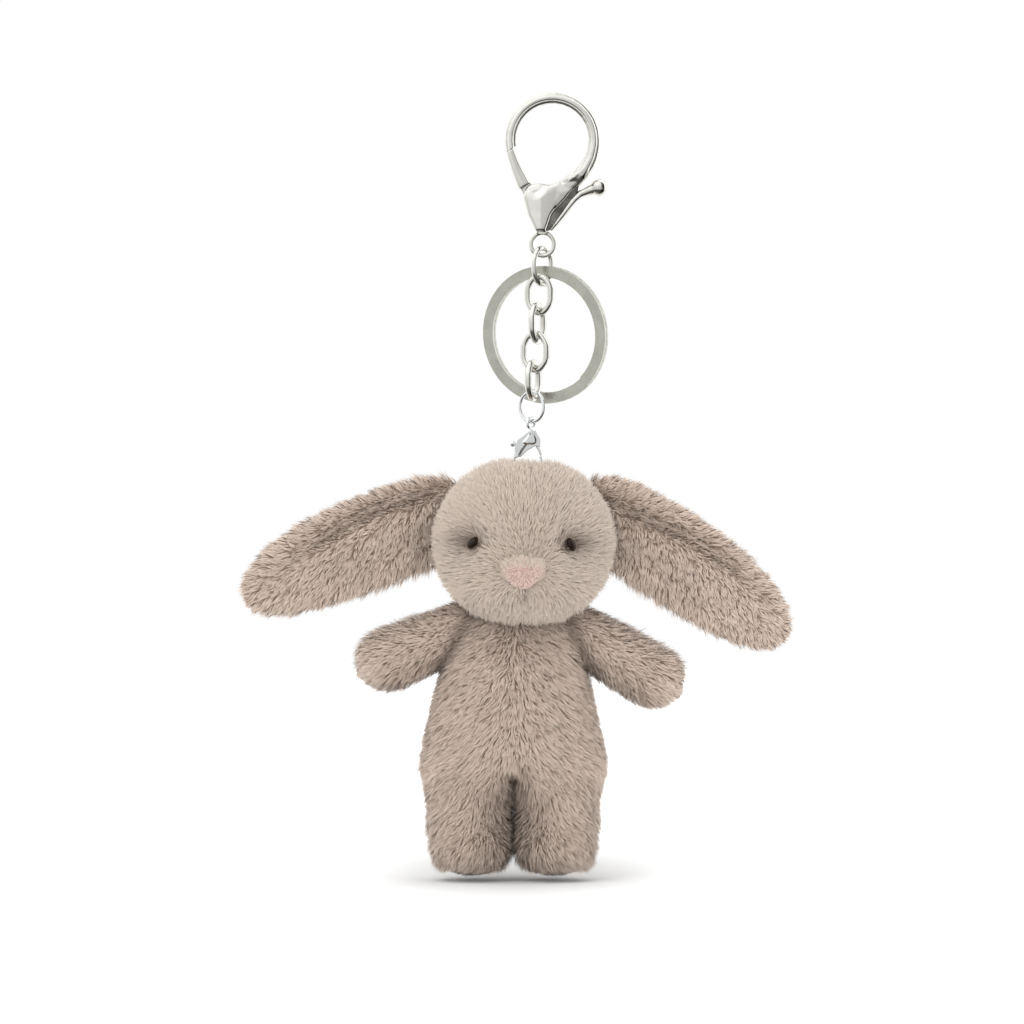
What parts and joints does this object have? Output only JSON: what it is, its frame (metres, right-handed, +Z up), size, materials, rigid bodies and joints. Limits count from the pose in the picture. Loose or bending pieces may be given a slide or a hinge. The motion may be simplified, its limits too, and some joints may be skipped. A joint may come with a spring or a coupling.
{
  "type": "plush keychain",
  "caption": "Jointed plush rabbit hanging from a chain with a trigger clasp, a flat split key ring and a small clasp hooked to its crown",
  "frame": {"origin": "The inside top of the large clasp's hook, where it rests on whatever it hangs from.", "axes": "+Z up along the hanging chain, front of the rabbit faces -Y, +X to the viewer's right."},
  "size_m": [0.119, 0.0418, 0.1695],
  "materials": {
    "nickel": "bright nickel plate",
    "satin_nickel": "satin nickel plate on flat wire",
    "spring_steel": "spring steel",
    "plush": "short pile plush fur, beige",
    "nose_cloth": "short pink pile",
    "cord": "stitched cord",
    "fibre": "polyester fibre fill",
    "pouch": "woven pouch of beads",
    "eye": "polished dark brown",
    "washer": "moulded"
  },
  "bodies": {
    "clasp": {"clasp_body": "nickel", "clasp_pivot_pin": "nickel", "clasp_spring": "spring_steel"},
    "gate": {"clasp_gate": "nickel"},
    "link_1": {"link_1": "nickel"},
    "link_2": {"link_2": "nickel"},
    "link_3": {"link_3": "nickel"},
    "link_4": {"link_4": "nickel"},
    "link_5": {"link_5": "nickel"},
    "key_ring": {"split_ring": "satin_nickel"},
    "jump_ring": {"jump_ring": "nickel"},
    "small_clasp": {"small_clasp_body": "nickel", "small_clasp_pin": "nickel", "small_clasp_spring": "spring_steel"},
    "small_gate": {"small_clasp_gate": "nickel"},
    "head": {"hanging_loop": "cord", "head_skin": "plush", "head_stuffing": "fibre", "eye_left": "eye", "eye_right": "eye", "eye_washer_left": "washer", "eye_washer_right": "washer", "nose": "nose_cloth"},
    "ear_left": {"ear_left_front": "plush", "ear_left_back": "plush"},
    "ear_right": {"ear_right_front": "plush", "ear_right_back": "plush"},
    "torso": {"torso_skin": "plush", "torso_stuffing": "fibre", "bean_pouch": "pouch", "tail": "plush"},
    "arm_left": {"arm_left_skin": "plush", "arm_left_stuffing": "fibre"},
    "arm_right": {"arm_right_skin": "plush", "arm_right_stuffing": "fibre"},
    "leg_left": {"leg_left_skin": "plush", "leg_left_stuffing": "fibre"},
    "leg_right": {"leg_right_skin": "plush", "leg_right_stuffing": "fibre"}
  },
  "joints": [
    {"name": "gate_pivot", "type": "hinge", "parent": "clasp", "child": "gate", "pos_m": [-0.0013, 0, -0.025], "axis": [0, 1, 0], "range_deg": [0, 20], "stiffness_Nm_per_rad": 0.02, "springref_deg": -17.19, "deforming": ["clasp_spring"]},
    {"name": "link_1_swing", "type": "hinge", "parent": "clasp", "child": "link_1", "pos_m": [-0.0021, 0, -0.033], "axis": [-0.7314, 0.682, 0], "range_deg": [-15, 15]},
    {"name": "key_ring_swing", "type": "hinge", "parent": "link_1", "child": "key_ring", "pos_m": [-0.00155, 0.0006, -0.03635], "axis": [0.8829, -0.4695, 0], "range_deg": [0, 15]},
    {"name": "link_2_swing", "type": "hinge", "parent": "link_1", "child": "link_2", "pos_m": [-0.0028, -0.0007, -0.03927], "axis": [-0.4067, -0.9135, 0], "range_deg": [-15, 15]},
    {"name": "link_3_swing", "type": "hinge", "parent": "link_2", "child": "link_3", "pos_m": [-0.0032, -0.0007, -0.04548], "axis": [-0.891, 0.454, 0], "range_deg": [-3, 20]},
    {"name": "link_4_swing", "type": "hinge", "parent": "link_3", "child": "link_4", "pos_m": [-0.0037, -0.00065, -0.05167], "axis": [0.4067, 0.9135, 0], "range_deg": [-15, 15]},
    {"name": "link_5_swing", "type": "hinge", "parent": "link_4", "child": "link_5", "pos_m": [-0.0041, -0.0005, -0.05788], "axis": [0.9135, -0.4067, 0], "range_deg": [-20, 3]},
    {"name": "jump_ring_swing", "type": "hinge", "parent": "link_5", "child": "jump_ring", "pos_m": [-0.0044, -0.0002, -0.06407], "axis": [-0.6157, -0.788, 0], "range_deg": [-15, 15]},
    {"name": "small_clasp_swing", "type": "hinge", "parent": "jump_ring", "child": "small_clasp", "pos_m": [-0.0044, -0.0002, -0.06915], "axis": [-0.766, 0.6428, 0], "range_deg": [-15, 15]},
    {"name": "small_gate_pivot", "type": "hinge", "parent": "small_clasp", "child": "small_gate", "pos_m": [-0.00482, 0, -0.07166], "axis": [0, 1, 0], "range_deg": [0, 20], "stiffness_Nm_per_rad": 0.002, "springref_deg": -17.19, "deforming": ["small_clasp_spring"]},
    {"name": "head_swing", "type": "hinge", "parent": "small_clasp", "child": "head", "pos_m": [-0.00525, 0, -0.08008], "axis": [1, 0, 0], "range_deg": [-15, 15]},
    {"name": "ear_left_flap", "type": "hinge", "parent": "head", "child": "ear_left", "pos_m": [-0.0294, 0.003, -0.0914], "axis": [0, 1, 0], "range_deg": [-3, 40], "stiffness_Nm_per_rad": 0.0005, "springref_deg": 11.29},
    {"name": "ear_right_flap", "type": "hinge", "parent": "head", "child": "ear_right", "pos_m": [0.0179, 0.003, -0.0926], "axis": [0, -1, 0], "range_deg": [-3, 40], "stiffness_Nm_per_rad": 0.0005, "springref_deg": 9.85},
    {"name": "neck_nod", "type": "hinge", "parent": "head", "child": "torso", "pos_m": [-0.0076, 0, -0.1115], "axis": [1, 0, 0], "range_deg": [-10, 10], "stiffness_Nm_per_rad": 0.002},
    {"name": "arm_left_raise", "type": "hinge", "parent": "torso", "child": "arm_left", "pos_m": [-0.0242, 0, -0.1166], "axis": [0, -1, 0], "range_deg": [-5, 24], "stiffness_Nm_per_rad": 0.0003, "springref_deg": -5.61},
    {"name": "arm_right_raise", "type": "hinge", "parent": "torso", "child": "arm_right", "pos_m": [0.0076, 0, -0.1164], "axis": [0, 1, 0], "range_deg": [-5, 24], "stiffness_Nm_per_rad": 0.0003, "springref_deg": -8.37},
    {"name": "leg_left_swing", "type": "hinge", "parent": "torso", "child": "leg_left", "pos_m": [-0.0177, -0.001, -0.1566], "axis": [-1, 0, 0], "range_deg": [-20, 30], "stiffness_Nm_per_rad": 0.0003, "springref_deg": 1.26},
    {"name": "leg_right_swing", "type": "hinge", "parent": "torso", "child": "leg_right", "pos_m": [0.0009, -0.001, -0.1566], "axis": [-1, 0, 0], "range_deg": [-20, 30], "stiffness_Nm_per_rad": 0.0003, "springref_deg": 1.26}
  ]
}
